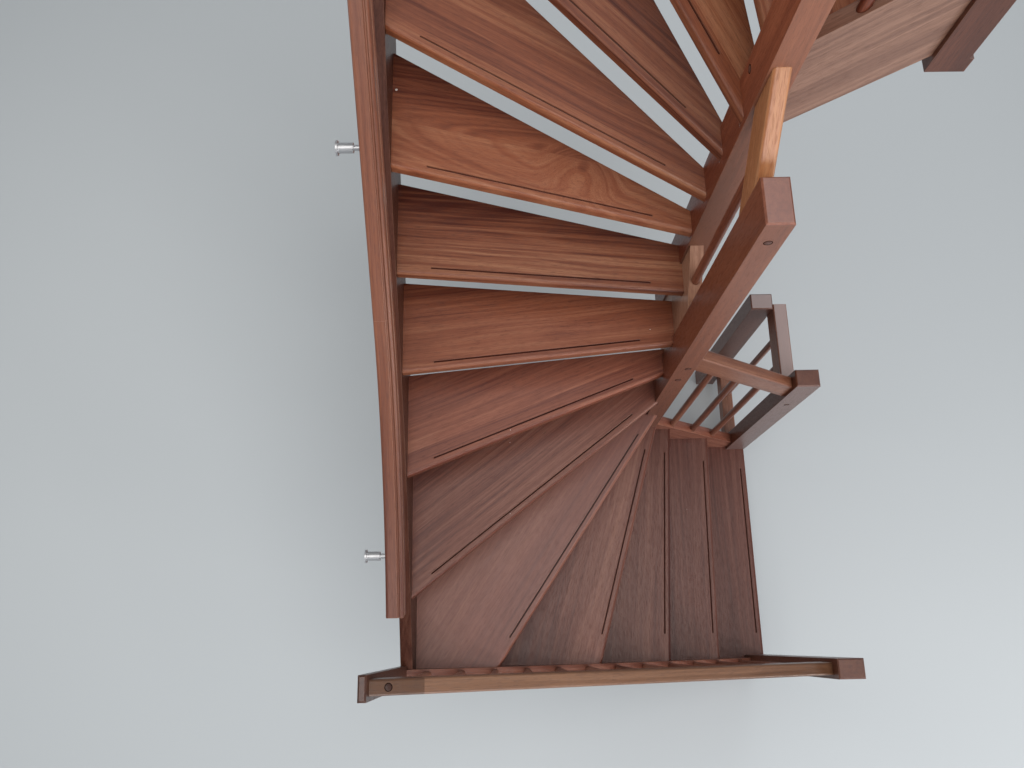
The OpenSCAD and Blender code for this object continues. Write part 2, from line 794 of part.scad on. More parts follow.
module spindles_guard() { color(wood_spindle) guard_set(0); }

tread(0);  // tread_01
tread(1);  // tread_02
tread(2);  // tread_03
tread(3);  // tread_04
tread(4);  // tread_05
tread(5);  // tread_06
tread(6);  // tread_07
tread(7);  // tread_08
tread(8);  // tread_09
tread(9);  // tread_10
tread(10);  // tread_11
tread(11);  // tread_12
tread(12);  // tread_13
tread(13);  // tread_14
landing_nosing();
newel_lower();
newel_upper();
newel_start_inner();
newel_start_outer();
newel_top();
guard_post();
wall_half_post();
string_inner_lower();
string_inner_middle();
string_inner_upper();
string_outer_lower();
string_wall();
string_outer_upper();
handrail_inner_lower();
handrail_inner_middle();
handrail_inner_upper();
handrail_outer();
handrail_wall();
rail_brackets();
spindles_inner_lower();
spindle_middle();
spindles_inner_upper();
spindles_outer();
guard_top_rail();
guard_bottom_rail();
spindles_guard();
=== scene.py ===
import math

import bmesh
import bpy
from mathutils import Matrix, Vector


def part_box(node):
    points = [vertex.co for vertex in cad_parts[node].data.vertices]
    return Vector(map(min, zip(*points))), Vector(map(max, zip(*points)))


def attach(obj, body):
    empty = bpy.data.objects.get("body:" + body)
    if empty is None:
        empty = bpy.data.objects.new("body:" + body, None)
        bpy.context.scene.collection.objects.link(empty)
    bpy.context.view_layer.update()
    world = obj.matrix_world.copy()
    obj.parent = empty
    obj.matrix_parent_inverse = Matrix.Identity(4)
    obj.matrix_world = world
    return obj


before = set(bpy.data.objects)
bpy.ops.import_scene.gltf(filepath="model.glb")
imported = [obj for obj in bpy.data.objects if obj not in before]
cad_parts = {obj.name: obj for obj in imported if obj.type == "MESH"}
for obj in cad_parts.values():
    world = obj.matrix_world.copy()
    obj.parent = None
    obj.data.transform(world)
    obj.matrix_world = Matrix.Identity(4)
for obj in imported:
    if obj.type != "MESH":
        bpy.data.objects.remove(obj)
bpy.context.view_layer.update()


# Treads. Each is a board glued up from staves of a straight-grained reddish hardwood,
# planed 38 mm thick, with a rounded nose, a sawn grip groove and satin varnish all over.
# The grain follows the nose, and every board has a tone and a figure of its own.
class Link:
    """A socket in a material. Arithmetic on it adds Math nodes."""

    def __init__(self, tree, socket):
        self.tree, self.socket = tree, socket

    def node(self, kind, settings=None, sockets=None, out=0):
        """Adds a node: its settings first, then the values or links of its sockets."""
        made = self.tree.nodes.new("ShaderNode" + kind)
        for key, value in (settings or {}).items():
            if key == "stops":
                ramp = made.color_ramp
                while len(ramp.elements) < len(value):
                    ramp.elements.new(0.5)
                for element, (place, colour) in zip(ramp.elements, value):
                    element.position, element.color = place, (*colour, 1)
            else:
                setattr(made, key, value)
        for key, value in (sockets or {}).items():
            if isinstance(value, Link):
                self.tree.links.new(value.socket, made.inputs[key])
            else:
                made.inputs[key].default_value = value
        return Link(self.tree, made.outputs[out])

    def maths(self, operation, *values):
        return self.node("Math", {"operation": operation}, dict(enumerate(values)))

    def __add__(self, other):
        return self.maths("ADD", self, other)

    def __mul__(self, other):
        return self.maths("MULTIPLY", self, other)

    def __sub__(self, other):
        return self.maths("SUBTRACT", self, other)

    def __rsub__(self, other):
        return self.maths("SUBTRACT", other, self)

    def __truediv__(self, other):
        return self.maths("DIVIDE", self, other)

    def __rtruediv__(self, other):
        return self.maths("DIVIDE", other, self)

    def __lt__(self, other):
        return self.maths("LESS_THAN", self, other)

    def __gt__(self, other):
        return self.maths("GREATER_THAN", self, other)

    __radd__, __rmul__ = __add__, __mul__

    def vector_maths(self, operation, *values, out=0):
        return self.node("VectorMath", {"operation": operation}, dict(enumerate(values)), out)

    def noise(self, grains, detail=2.0, rough=0.5, offset=0.0):
        """Soft noise over this vector, with that many grains per metre along each axis."""
        place = self.node("Mapping", {}, {0: self, "Location": (offset, offset / 2, -offset),
                                          "Scale": grains})
        return self.node("TexNoise", {}, {"Vector": place, "Scale": 1.0, "Detail": detail,
                                          "Roughness": rough})

    def between(self, low, high, at_low, at_high, curve="LINEAR"):
        """Goes from one value to the other as this goes from low to high."""
        return self.node("MapRange", {"interpolation_type": curve},
                         {0: self, 1: low, 2: high, 3: at_low, 4: at_high})

    def tint(self, blend, factor, other):
        """This colour mixed with another one."""
        return self.node("Mix", {"data_type": "RGBA", "blend_type": blend},
                         {0: factor, 6: self, 7: (*other, 1)}, 2)

    def split(self, axis):
        """One of the three parts of this vector."""
        return self.node("SeparateXYZ", {}, {0: self}, axis)

    def into(self, shader, socket):
        """Feeds this to a socket of the finish's shader."""
        self.tree.links.new(self.socket, shader.inputs[socket])


def new_finish(name):
    """A new material, its shader and the place of each point on it, in metres."""
    material = bpy.data.materials.new(name)
    material.use_nodes = True
    tree = material.node_tree
    return material, tree.nodes["Principled BSDF"], Link(tree, None).node("TexCoord", out=3)


# Grains per metre along a board, across it and through it
SWAY, DRIFT = (0.9, 5.0, 5.0), (2.6, 14.0, 14.0)
BANDS, STREAKS = (0.5, 10.0, 10.0), (1.1, 85.0, 85.0)
FIBRES, PORES = (7.0, 420.0, 420.0), (38.0, 900.0, 900.0)
# How wide the sway is beside the drift, and how much of the bend goes down into the board
SWAY_WIDTH, BEND_DEPTH = 4, 0.7
# How the glued staves differ: in place, in metres along the board and in tone
STAVE_SHIFT, STAVE_JUMP, STAVE_SHARE = 0.37, 3, 0.16
# The rings are long shells round the pith: how slowly they change along it, and how far to
# one side it may lie
RINGS_PER_METRE, SHELL_TAPER, PITH_SIDE = 110.0, 0.05, 0.05
# How fast they open along the board, how deep the pith lies and how much the rings show
PLAIN, ARCHED = (0.0, 0.12, 0.14), (0.07, 0.02, 0.36)
# How much each kind of grain shows, and the tones at which the three colours stand
STREAK_SHARE, BAND_SHARE, FIBRE_SHARE = 0.62, 0.26, 0.12
DARK_STOP, BODY_STOP, LIGHT_STOP = 0.16, 0.5, 0.86
# A pore is open where its noise is higher than this. It is darker by this share of its tint
OPEN_PORE, PORE_SHARE, PORE_TINT = 0.62, 0.45, (0.45, 0.36, 0.33)
# A knot's eye: the shares of its size where it starts to fade and ends, and how dark it is
EYE_FADE, EYE_END, EYE_DARK = 0.04, 0.16, 0.22
# The varnish's roughness, and how much rougher the streaks, the pores and the groove are
VARNISH, STREAK_ROUGH, PORE_ROUGH, GROOVE_ROUGH = 0.26, 0.14, 0.12, 0.6
# How far the fibres and the streaks stand out and the pores sink in, and by how much in all
FIBRE_RELIEF, STREAK_RELIEF, PORE_RELIEF, RELIEF, RELIEF_DEPTH = 0.5, 0.3, 0.6, 0.35, 0.0005
# How closely a face has to look in a direction to count as turned that way
TURNED = 0.9
# The depths between which a face is the floor of the groove, and the painted shade on that
# floor
GROOVE_FROM, GROOVE_TO, GROOVE_SHADE = 0.001, 0.005, (0.26, 0.11, 0.08)
# An arris is lightened where the rounded normal leaves the flat one by these amounts, partly
# as wear and partly as a painted highlight
ARRIS, EDGE_FROM, EDGE_TO, WEAR_AND_HIGHLIGHT = 0.0022, 0.02, 0.25, (0.42, 0.22, 0.14)
# Crumbs lie in the cells with a draw above this one, and grow with what it is above it
CRUMB_CELLS, CRUMB_DRAW, CRUMB_GROWTH, CRUMB_SHARE = 6.0, 0.82, 0.13, 0.85
# The colours of the plaster crumbs, and of the pale film on the tops, which is partly dust and
# partly a painted sheen
PLASTER, DUST_AND_SHEEN = (0.66, 0.62, 0.58), (0.42, 0.36, 0.36)


def varnished_wood(name, grain, face, tones, seed, stave=0.0, wander=0.010, origin=(0, 0, 0),
                   contrast=2.6, rings=PLAIN, groove_top=None, dust_and_sheen=0.0, crumbs=False,
                   knot=None, splice=None, painted_shade_below=None, path=None, sheen=0.5, wear_and_highlight=0.32,
                   painted_reflection=None, back=None):
    """Varnished hardwood with its grain along one direction and its wide face towards another.

    tones are the colours of its dark streaks, its body and its light streaks, and contrast is
    how strongly they differ. seed gives each piece a figure of its own, wander is how far its
    grain strays, in metres, and rings is PLAIN or ARCHED. stave is the width of the glued
    staves. origin is the place in the row frame that the figure starts from, and path turns a
    place into one along, across and under a bent member. groove_top is the height of the face
    that a groove is sunk in; the groove's floor is darkened with painted shade. knot is a
    place
    and a size: the grain sweeps round it.
    splice is the length, and the darkness, of another length of wood joined on at the origin.
    fade is a height, a higher one and how much darker the wood is at the first, as painted
    shade towards the lower end, and back is the same across a board, from its back, as painted
    shade under the next board. sheen is how strongly the varnish shines and wear how light the
    arrises are, partly worn and partly a painted highlight. dust is the share of a pale film
    on the faces that look up, partly real powder and partly a painted sheen, and crumbs are
    specks of plaster on them. bleached is the share and the colour of a painted pale
    reflection on the faces towards the front.
    """
    material, shader, place = new_finish(name)
    grain = Vector(grain).normalized()
    across = Vector(face).cross(grain).normalized()
    turn = Matrix((grain, across, grain.cross(across))).transposed().to_euler()
    board = path(place) if path else place.node(
        "Mapping", {"vector_type": "TEXTURE"},
        {0: place, "Location": origin, "Rotation": turn})
    along, wide, deep = (board.split(axis) for axis in range(3))

    start = along
    if stave:
        row = wide / stave + seed * STAVE_SHIFT
        row = row.maths("FLOOR", row)
        pick = row.node("TexWhiteNoise", {"noise_dimensions": "1D"}, {"W": row + seed})
        start = along + pick * STAVE_JUMP
    sway = board.noise(SWAY, 2.0, offset=seed) - 0.5
    drift = board.noise(DRIFT, 1.0, offset=seed + 7) - 0.5
    bend = sway * (wander * SWAY_WIDTH) + drift * wander
    if knot:
        centre, size = knot
        away = place.vector_maths("DISTANCE", place, centre, out=1)
        bend = bend + away.between(0.0, size, size * 0.5, 0.0, "SMOOTHSTEP")
        eye = away.between(size * EYE_FADE, size * EYE_END, EYE_DARK, 0.0, "SMOOTHSTEP")
    fibres = board.node("CombineXYZ", {}, {0: start, 1: wide + bend,
                                           2: deep + bend * BEND_DEPTH})
    band = fibres.noise(BANDS, 1.0, offset=seed + 3)
    streak = fibres.noise(STREAKS, 5.0, 0.62, offset=seed + 11)
    fibre = fibres.noise(FIBRES, 2.0, offset=seed + 5)
    open_pore = fibres.noise(PORES, 0.0, offset=seed + 9) > OPEN_PORE
    opening, pith_depth, ring_share = rings
    pith = fibres.vector_maths("MULTIPLY_ADD", fibres, (SHELL_TAPER, 1, 1),
                               (0, PITH_SIDE * math.sin(seed), pith_depth))
    pith = pith.vector_maths("LENGTH", pith, out=1)
    ring = pith.node("TexNoise", {"noise_dimensions": "1D"},
                     {"W": (pith + along * opening) * RINGS_PER_METRE + seed, "Scale": 1.0,
                      "Detail": 2.0})
    tone = (band * BAND_SHARE + streak * (STREAK_SHARE - ring_share) + ring * ring_share
            + fibre * FIBRE_SHARE - 0.5) * contrast + 0.5
    if knot:
        tone = tone - eye
    if stave:
        tone = tone + (pick - 0.5) * STAVE_SHARE
    if splice:
        reach, darker = splice
        tone = tone - (along < reach) * darker
    # Painted shade: the wood darkens towards the lower end.
    if painted_shade_below:
        tone = tone - place.split(2).between(*painted_shade_below, 0.0)
    # Painted shade: the board darkens towards its back, under the next nose.
    if back:
        tone = tone - wide.between(*back, 0.0)
    stops = list(zip((DARK_STOP, BODY_STOP, LIGHT_STOP), tones))
    colour = tone.node("ValToRGB", {"stops": stops}, {0: tone})
    colour = colour.tint("MULTIPLY", open_pore * PORE_SHARE, PORE_TINT)

    flat = colour.node("NewGeometry", out=1)
    looks_up = flat.split(2) > TURNED
    rough = VARNISH + streak * STREAK_ROUGH + open_pore * PORE_ROUGH
    # The floor of the groove is darkened with painted shade, and made rougher.
    if groove_top is not None:
        height = place.split(2)
        sunk = (height < groove_top - GROOVE_FROM) * (height > groove_top - GROOVE_TO)
        sunk = sunk * looks_up
        colour = colour.tint("MULTIPLY", sunk, GROOVE_SHADE)
        rough = rough + sunk * GROOVE_ROUGH
    # The arrises are lightened, partly as wear and partly as a painted highlight.
    eased = colour.node("Bevel", {"samples": 4}, {"Radius": ARRIS})
    edge = 1 - colour.vector_maths("DOT_PRODUCT", eased, flat, out=1)
    colour = colour.tint("MIX", edge.between(EDGE_FROM, EDGE_TO, 0.0, wear_and_highlight), WEAR_AND_HIGHLIGHT)
    if crumbs:
        cells = {"voronoi_dimensions": "2D"}, {"Vector": place, "Scale": CRUMB_CELLS}
        draw = place.node("TexWhiteNoise", {}, {0: place.node("TexVoronoi", *cells, 2)})
        crumb = place.node("TexVoronoi", *cells) < (draw - CRUMB_DRAW) * CRUMB_GROWTH
        colour = colour.tint("MIX", crumb * looks_up * CRUMB_SHARE, PLASTER)
    # A pale film on the faces that look up, partly dust and partly a painted sheen.
    if dust_and_sheen:
        colour = colour.tint("MIX", looks_up * dust_and_sheen, DUST_AND_SHEEN)
    # A painted pale reflection on the faces towards the front.
    if painted_reflection:
        share, reflection_colour = painted_reflection
        colour = colour.tint("MIX", (flat.split(1) < -TURNED) * share, reflection_colour)

    colour.into(shader, "Base Color")
    rough.into(shader, "Roughness")
    shader.inputs["Specular IOR Level"].default_value = sheen
    relief = fibre * FIBRE_RELIEF - open_pore * PORE_RELIEF + streak * STREAK_RELIEF
    relief.node("Bump", {}, {"Strength": RELIEF, "Distance": RELIEF_DEPTH, "Height": relief,
                             "Normal": eased}).into(shader, "Normal")
    return material


def finish(node, material):
    """Gives a CAD node its material."""
    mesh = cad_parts[node].data
    mesh.materials.clear()
    mesh.materials.append(material)


def lightened(tones, light):
    """Tones that are all lightened or darkened alike."""
    return [tuple(light * part for part in tone) for tone in tones]


def blended(tones_a, tones_b, share):
    """Tones between two sets."""
    return [tuple(a + (b - a) * share for a, b in zip(x, y)) for x, y in zip(tones_a, tones_b)]


# The lower boards are greyer and the upper ones warmer: partly their tone, and partly a
# painted cool reflection on the lower ones
GREY_TREAD = [(0.060, 0.013, 0.008), (0.106, 0.033, 0.023), (0.172, 0.073, 0.054)]
WARM_TREAD = [(0.065, 0.010, 0.004), (0.205, 0.062, 0.027), (0.330, 0.140, 0.070)]
# The turn of each nose in the plan, then how warm and how light the board is, how much dust
# and painted sheen lies on its top, how strong its streaks are and how light its arrises are,
# partly worn and partly a painted highlight
BOARDS = {"tread_01": (0, 0.05, 0.93, 0.00, 2.0, 0.32),
          "tread_02": (1.6, 0.05, 0.90, 0.00, 2.0, 0.32),
          "tread_03": (3.9, 0.10, 0.88, 0.00, 2.0, 0.32),
          "tread_04": (16.35, 0.20, 1.08, 0.03, 1.8, 0.32),
          "tread_05": (34.4, 0.25, 1.37, 0.09, 1.1, 0.45),
          "tread_06": (52.6, 0.25, 1.06, 0.02, 2.2, 0.80),
          "tread_07": (68.8, 0.50, 1.40, 0.02, 1.5, 0.25),
          "tread_08": (84.6, 0.75, 1.11, 0.00, 1.7, 0.18),
          "tread_09": (95.0, 0.85, 0.91, 0.01, 2.7, 0.18),
          "tread_10": (104.6, 0.90, 1.20, 0.02, 1.3, 0.25),
          "tread_11": (122.4, 0.95, 1.12, 0.06, 2.3, 0.25),
          "tread_12": (139.7, 0.90, 0.97, 0.06, 2.3, 0.25),
          "tread_13": (158.3, 0.90, 1.05, 0.00, 2.2, 0.25),
          "tread_14": (174.6, 0.90, 1.00, 0.00, 2.0, 0.32),
          "landing_nosing": (180, 0.80, 1.00, 0.00, 2.0, 0.32)}
STAVE = 0.115
# The backs of the middle boards, under the next nose, are darkened with painted shade
BOARD_LOOKS = {"tread_07": {"back": (-0.14, 0.0, 0.14)},
               "tread_08": {"back": (-0.14, 0.04, 0.22)},
               "tread_09": {"back": (-0.14, 0.06, 0.34)},
               "tread_10": {"rings": ARCHED, "knot": ((-0.320, 0.440, 1.800), 0.15),
                            "back": (-0.16, 0.0, 0.22)}}
for k, (node, (turn, warmth, light, dust_and_sheen, figure, wear_and_highlight)) in enumerate(BOARDS.items()):
    turn = math.radians(turn)
    low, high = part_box(node)
    finish(node, varnished_wood(
        "board_wood_%02d" % (k + 1), (-math.sin(turn), -math.cos(turn), 0), (0, 0, 1),
        lightened(blended(GREY_TREAD, WARM_TREAD, warmth), light), seed=3.1 * k + 1,
        stave=STAVE, origin=(low + high) / 2, groove_top=high.z, contrast=figure, dust_and_sheen=dust_and_sheen,
        crumbs=True, sheen=0.35, wear_and_highlight=wear_and_highlight, **BOARD_LOOKS.get(node, {})))


# Strings. The long planks that the treads are housed in, 38 mm thick, with the grain along
# their slope. The short ones between the newels have theirs along the slope too.
STRING_TONES = [(0.060, 0.016, 0.010), (0.135, 0.045, 0.028), (0.220, 0.095, 0.062)]
PINK_TONES = [(0.125, 0.056, 0.039), (0.246, 0.129, 0.088), (0.350, 0.200, 0.140)]
MIDDLE_STRING_TONES = [(0.170, 0.066, 0.036), (0.300, 0.150, 0.096), (0.420, 0.240, 0.165)]
LOW_PITCH, MIDDLE_PITCH, TOP_PITCH = 42.3, 31.5, 45.0
OUTER_PITCH, WALL_PITCH = 25.0, 33.0


def uphill(x, y, pitch):
    """The direction that climbs at this pitch over a direction in the plan."""
    rise = math.radians(pitch)
    return (x * math.cos(rise), y * math.cos(rise), math.sin(rise))


# The light of each string is partly its own tone and partly painted shade: the one at the wall
# is darkened for the shade it lies in.
for node, grain, face, tones, light, sheen, wear_and_highlight, seed in (
        ("string_inner_lower", uphill(-1, 0, LOW_PITCH), (0, 1, 0),
         STRING_TONES, 1.5, 0.5, 0.8, 21),
        ("string_inner_middle", uphill(0, 1, MIDDLE_PITCH), (1, 0, 0),
         MIDDLE_STRING_TONES, 1.0, 0.3, 0.32, 22),
        ("string_inner_upper", uphill(1, 0, TOP_PITCH), (0, 1, 0),
         PINK_TONES, 1.0, 0.5, 0.32, 23),
        ("string_outer_lower", uphill(-1, 0, OUTER_PITCH), (0, 1, 0),
         STRING_TONES, 1.0, 0.5, 0.32, 24),
        ("string_wall", uphill(0, 1, WALL_PITCH), (1, 0, 0),
         STRING_TONES, 0.5, 0.1, 0.32, 25),
        ("string_outer_upper", uphill(1, 0, WALL_PITCH), (0, 1, 0),
         STRING_TONES, 0.8, 0.3, 0.32, 26)):
    low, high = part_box(node)
    finish(node, varnished_wood(
        "plank_wood_" + node.removeprefix("string_"), grain, face, lightened(tones, light),
        seed, origin=(low + high) / 2, wander=0.014, contrast=2.0, sheen=sheen, wear_and_highlight=wear_and_highlight))


# Newels. Solid posts with the grain upright, the two tall ones 61 by 108 mm, with their
# arrises eased and a shallow chamfer round the top.
NEWEL_TONES = [(0.085, 0.016, 0.006), (0.190, 0.052, 0.023), (0.290, 0.105, 0.055)]
# fade darkens the lower parts of the tall newels with painted shade, and bleached lays a
# painted pale reflection on the front faces of the posts.
NEWEL_LOOKS = {
    "newel_lower": {"painted_shade_below": (0.9, 2.1, 0.25), "painted_reflection": (0.22, (0.24, 0.150, 0.112)),
                    "crumbs": True, "knot": ((0.0085, -0.054, 2.062), 0.03)},
    "newel_upper": {"painted_shade_below": (1.8, 2.6, 0.45), "painted_reflection": (0.35, (0.215, 0.125, 0.082))},
    "newel_start_inner": {"painted_reflection": (0.25, (0.30, 0.26, 0.26))},
    "guard_post": {"painted_reflection": (0.10, (0.30, 0.26, 0.26))}}
# The light of each post is partly its own tone and partly painted shade: the low posts in the
# stairwell are darkened for the shade they stand in.
for node, light, figure, dust_and_sheen, seed in (
        ("newel_lower", 1.0, 1.3, 0.25, 31), ("newel_upper", 1.45, 1.4, 0.2, 32),
        ("newel_start_inner", 0.5, 1.6, 0.04, 33), ("newel_start_outer", 0.45, 1.6, 0.0, 34),
        ("newel_top", 0.52, 1.8, 0.2, 35), ("guard_post", 0.55, 1.6, 0.6, 36),
        ("wall_half_post", 0.27, 1.8, 0.05, 37)):
    low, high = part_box(node)
    finish(node, varnished_wood(
        "post_wood_" + node, (0, 0, 1), (0, 1, 0), lightened(NEWEL_TONES, light), seed,
        origin=(low + high) / 2, contrast=figure, dust_and_sheen=dust_and_sheen, **NEWEL_LOOKS.get(node, {})))


# Handrails. Planed boards of a lighter, orange-brown length of the same wood, with the upper
# arrises rounded. The outer one has a darker length scarfed on at the wall, and the one on
# the wall is moulded and bent at both ends.
RAIL_TONES = [(0.210, 0.068, 0.024), (0.370, 0.148, 0.060), (0.470, 0.225, 0.105)]
OUTER_TONES = [(0.095, 0.042, 0.021), (0.178, 0.088, 0.050), (0.265, 0.145, 0.088)]
DULL_RAIL_TONES = [(0.095, 0.030, 0.016), (0.195, 0.075, 0.042), (0.300, 0.140, 0.085)]
WALL_RAIL_TONES = [(0.080, 0.019, 0.010), (0.168, 0.056, 0.029), (0.265, 0.108, 0.062)]
LOW_RAIL_PITCH, MIDDLE_RAIL_PITCH, OUTER_RAIL_PITCH = 40.4, 50.5, 26.4
SCARF = 0.137
# The wall handrail's bends, seen from the side: along y and up z
BEND_R, BEND_PITCH = 1.390, math.radians(41.4)
BEND_START, STRAIGHT_RUN = Vector((-0.180, 2.226)), 0.622
STRAIGHT = STRAIGHT_RUN / math.cos(BEND_PITCH)


def along_bent_rail(place):
    """A place turned into the length along the wall handrail, across it and under its top."""
    run, rise = math.cos(BEND_PITCH), math.sin(BEND_PITCH)
    low = BEND_START + BEND_R * Vector((-rise, run))
    high = BEND_START + STRAIGHT * Vector((run, rise)) + BEND_R * Vector((rise, -run))
    y, z = place.split(1), place.split(2)
    straight = (y - BEND_START.x) * run + (z - BEND_START.y) * rise
    across = (z - BEND_START.y) * run - (y - BEND_START.x) * rise
    low_y, low_z, high_y, high_z = y - low.x, low.y - z, high.x - y, z - high.y
    low_turn = low_y.maths("ARCTAN2", low_y, low_z)
    high_turn = high_y.maths("ARCTAN2", high_y, high_z)
    low_reach = low_y.maths("SQRT", low_y * low_y + low_z * low_z)
    high_reach = high_y.maths("SQRT", high_y * high_y + high_z * high_z)
    in_low, in_high = straight < 0.0, straight > STRAIGHT
    in_middle = 1 - in_low - in_high
    length = (straight * in_middle + in_low * (low_turn - BEND_PITCH) * BEND_R
              + in_high * ((BEND_PITCH - high_turn) * BEND_R + STRAIGHT))
    under = (across * in_middle + in_low * (BEND_R - low_reach)
             + in_high * (high_reach - BEND_R))
    return place.node("CombineXYZ", {}, {0: length, 1: place.split(0), 2: under})


# fade darkens the lower ends of the outer and wall handrails with painted shade, the wall
# rail's lighter arrises are partly a painted highlight, and the pale film on the guard rail's
# top is partly a painted sheen.
RAIL_LOOKS = {
    "handrail_outer": {"splice": (SCARF, 1.1), "painted_shade_below": (1.2, 1.6, 0.3)},
    "handrail_wall": {"path": along_bent_rail, "painted_shade_below": (1.5, 2.2, 0.7), "wear_and_highlight": 0.75},
    "guard_top_rail": {"dust_and_sheen": 0.6}}
for node, grain, face, tones, seed in (
        ("handrail_inner_lower", uphill(-1, 0, LOW_RAIL_PITCH), (0, 1, 0),
         DULL_RAIL_TONES, 41),
        ("handrail_inner_middle", uphill(0, 1, MIDDLE_RAIL_PITCH), (1, 0, 0),
         RAIL_TONES, 42),
        ("handrail_inner_upper", uphill(1, 0, TOP_PITCH), (0, 1, 0), DULL_RAIL_TONES, 43),
        ("handrail_outer", uphill(1, 0, -OUTER_RAIL_PITCH), (0, 1, 0), OUTER_TONES, 44),
        ("handrail_wall", (0, 1, 0), (1, 0, 0), WALL_RAIL_TONES, 45),
        ("guard_top_rail", (0, 1, 0), (1, 0, 0), DULL_RAIL_TONES, 46),
        ("guard_bottom_rail", (0, 1, 0), (1, 0, 0), DULL_RAIL_TONES, 47)):
    low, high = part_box(node)
    finish(node, varnished_wood(
        "rail_wood_" + node, grain, face, tones, seed,
        origin=Vector((low.x, (low.y + high.y) / 2, high.z)), contrast=1.8,
        **RAIL_LOOKS.get(node, {})))


# Spindles. Plain turned rods, 24 mm thick, let into the strings and the handrails. The ones
# beside the upper newels are from a redder length.
SPINDLE_TONES = [(0.085, 0.026, 0.015), (0.190, 0.068, 0.040), (0.300, 0.130, 0.080)]
RED_SPINDLE_TONES = [(0.080, 0.015, 0.007), (0.175, 0.046, 0.022), (0.270, 0.092, 0.050)]
for node, tones, seed in (
        ("spindles_inner_lower", SPINDLE_TONES, 51), ("spindle_middle", RED_SPINDLE_TONES, 52),
        ("spindles_inner_upper", RED_SPINDLE_TONES, 53), ("spindles_outer", SPINDLE_TONES, 54),
        ("spindles_guard", SPINDLE_TONES, 55)):
    finish(node, varnished_wood("rod_wood_" + node, (0, 0, 1), (0, 1, 0), tones, seed))


# Rail brackets. Brushed stainless steel, with a wall plate, a boss and an arm under the rail.
# The brushing leaves fine lines and an uneven sheen.
BRUSHING, STEEL = (60.0, 900.0, 900.0), (0.50, 0.50, 0.51, 1)
STEEL_ROUGH, LINE_ROUGH, LINE_RELIEF, LINE_DEPTH = 0.3, 0.25, 0.2, 0.0002
steel, metal, place = new_finish("brushed_steel")
metal.inputs["Base Color"].default_value = STEEL
metal.inputs["Metallic"].default_value = 1.0
brushed = place.noise(BRUSHING)
(brushed * LINE_ROUGH + STEEL_ROUGH).into(metal, "Roughness")
brushed.node("Bump", {}, {"Strength": LINE_RELIEF, "Distance": LINE_DEPTH,
                          "Height": brushed}).into(metal, "Normal")
finish("rail_brackets", steel)


# Plugs. Turned plugs of darker end grain, glued in over the screws that hold the handrails to
# the newels. Each stands a little proud, with a thin ring of painted shadow round it.
def mesh_piece(name, build, *materials):
    """A new object whose mesh is built in the row frame."""
    shape = bmesh.new()
    build(shape)
    mesh = bpy.data.meshes.new(name)
    shape.to_mesh(mesh)
    shape.free()
    for material in materials:
        mesh.materials.append(material)
    piece = bpy.data.objects.new(name, mesh)
    bpy.context.scene.collection.objects.link(piece)
    return piece


PLUG_R, PLUG_SUNK, PLUG_SIDES = 0.0080, 0.004, 32
# Shares of the radius, and the height of the dome at each
PLUG_DOME = ((0.02, 0.0012), (0.45, 0.0011), (0.8, 0.0008), (0.96, 0.0003))
LINE_IN, LINE_OUT, LINE_TOP = PLUG_R + 0.0001, PLUG_R + 0.0020, 0.0002
PLUG_TONES = [(0.050, 0.018, 0.012), (0.095, 0.040, 0.030), (0.150, 0.070, 0.052)]
plug_wood = varnished_wood("plug_wood", (0, 1, 0), (1, 0, 0), PLUG_TONES, 61,
                           sheen=0.3, wear_and_highlight=0.0)
dark_plug_wood = varnished_wood("dark_plug_wood", (0, 1, 0), (1, 0, 0),
                                lightened(PLUG_TONES, 0.45), 63, sheen=0.3, wear_and_highlight=0.0)
plug_shadow = varnished_wood("plug_shadow_ring", (0, 0, 1), (1, 0, 0),
                           lightened(PLUG_TONES, 0.15), 62, sheen=0.0, wear_and_highlight=0.0)


def plug_shape(shape):
    """A domed plug and the thin ring of shadow round it, facing +Z, closed below."""
    def ring(radius, height):
        """Points round the plug's axis."""
        return [shape.verts.new((radius * math.cos(2 * math.pi * i / PLUG_SIDES),
                                 radius * math.sin(2 * math.pi * i / PLUG_SIDES), height))
                for i in range(PLUG_SIDES)]

    def skin(rings, material):
        """Faces between each ring and the next."""
        for inner, outer in zip(rings, rings[1:]):
            for i in range(PLUG_SIDES):
                j = (i + 1) % PLUG_SIDES
                band = shape.faces.new((inner[i], outer[i], outer[j], inner[j]))
                band.material_index = material

    plug = [ring(PLUG_R * share, height) for share, height in PLUG_DOME]
    plug += [ring(PLUG_R, 0.0), ring(PLUG_R, -PLUG_SUNK)]
    shape.faces.new(plug[0])
    shape.faces.new(plug[-1][::-1])
    skin(plug, 0)
    line = [ring(LINE_IN, LINE_TOP), ring(LINE_OUT, LINE_TOP),
            ring(LINE_OUT, -PLUG_SUNK), ring(LINE_IN, -PLUG_SUNK)]
    skin(line + line[:1], 1)


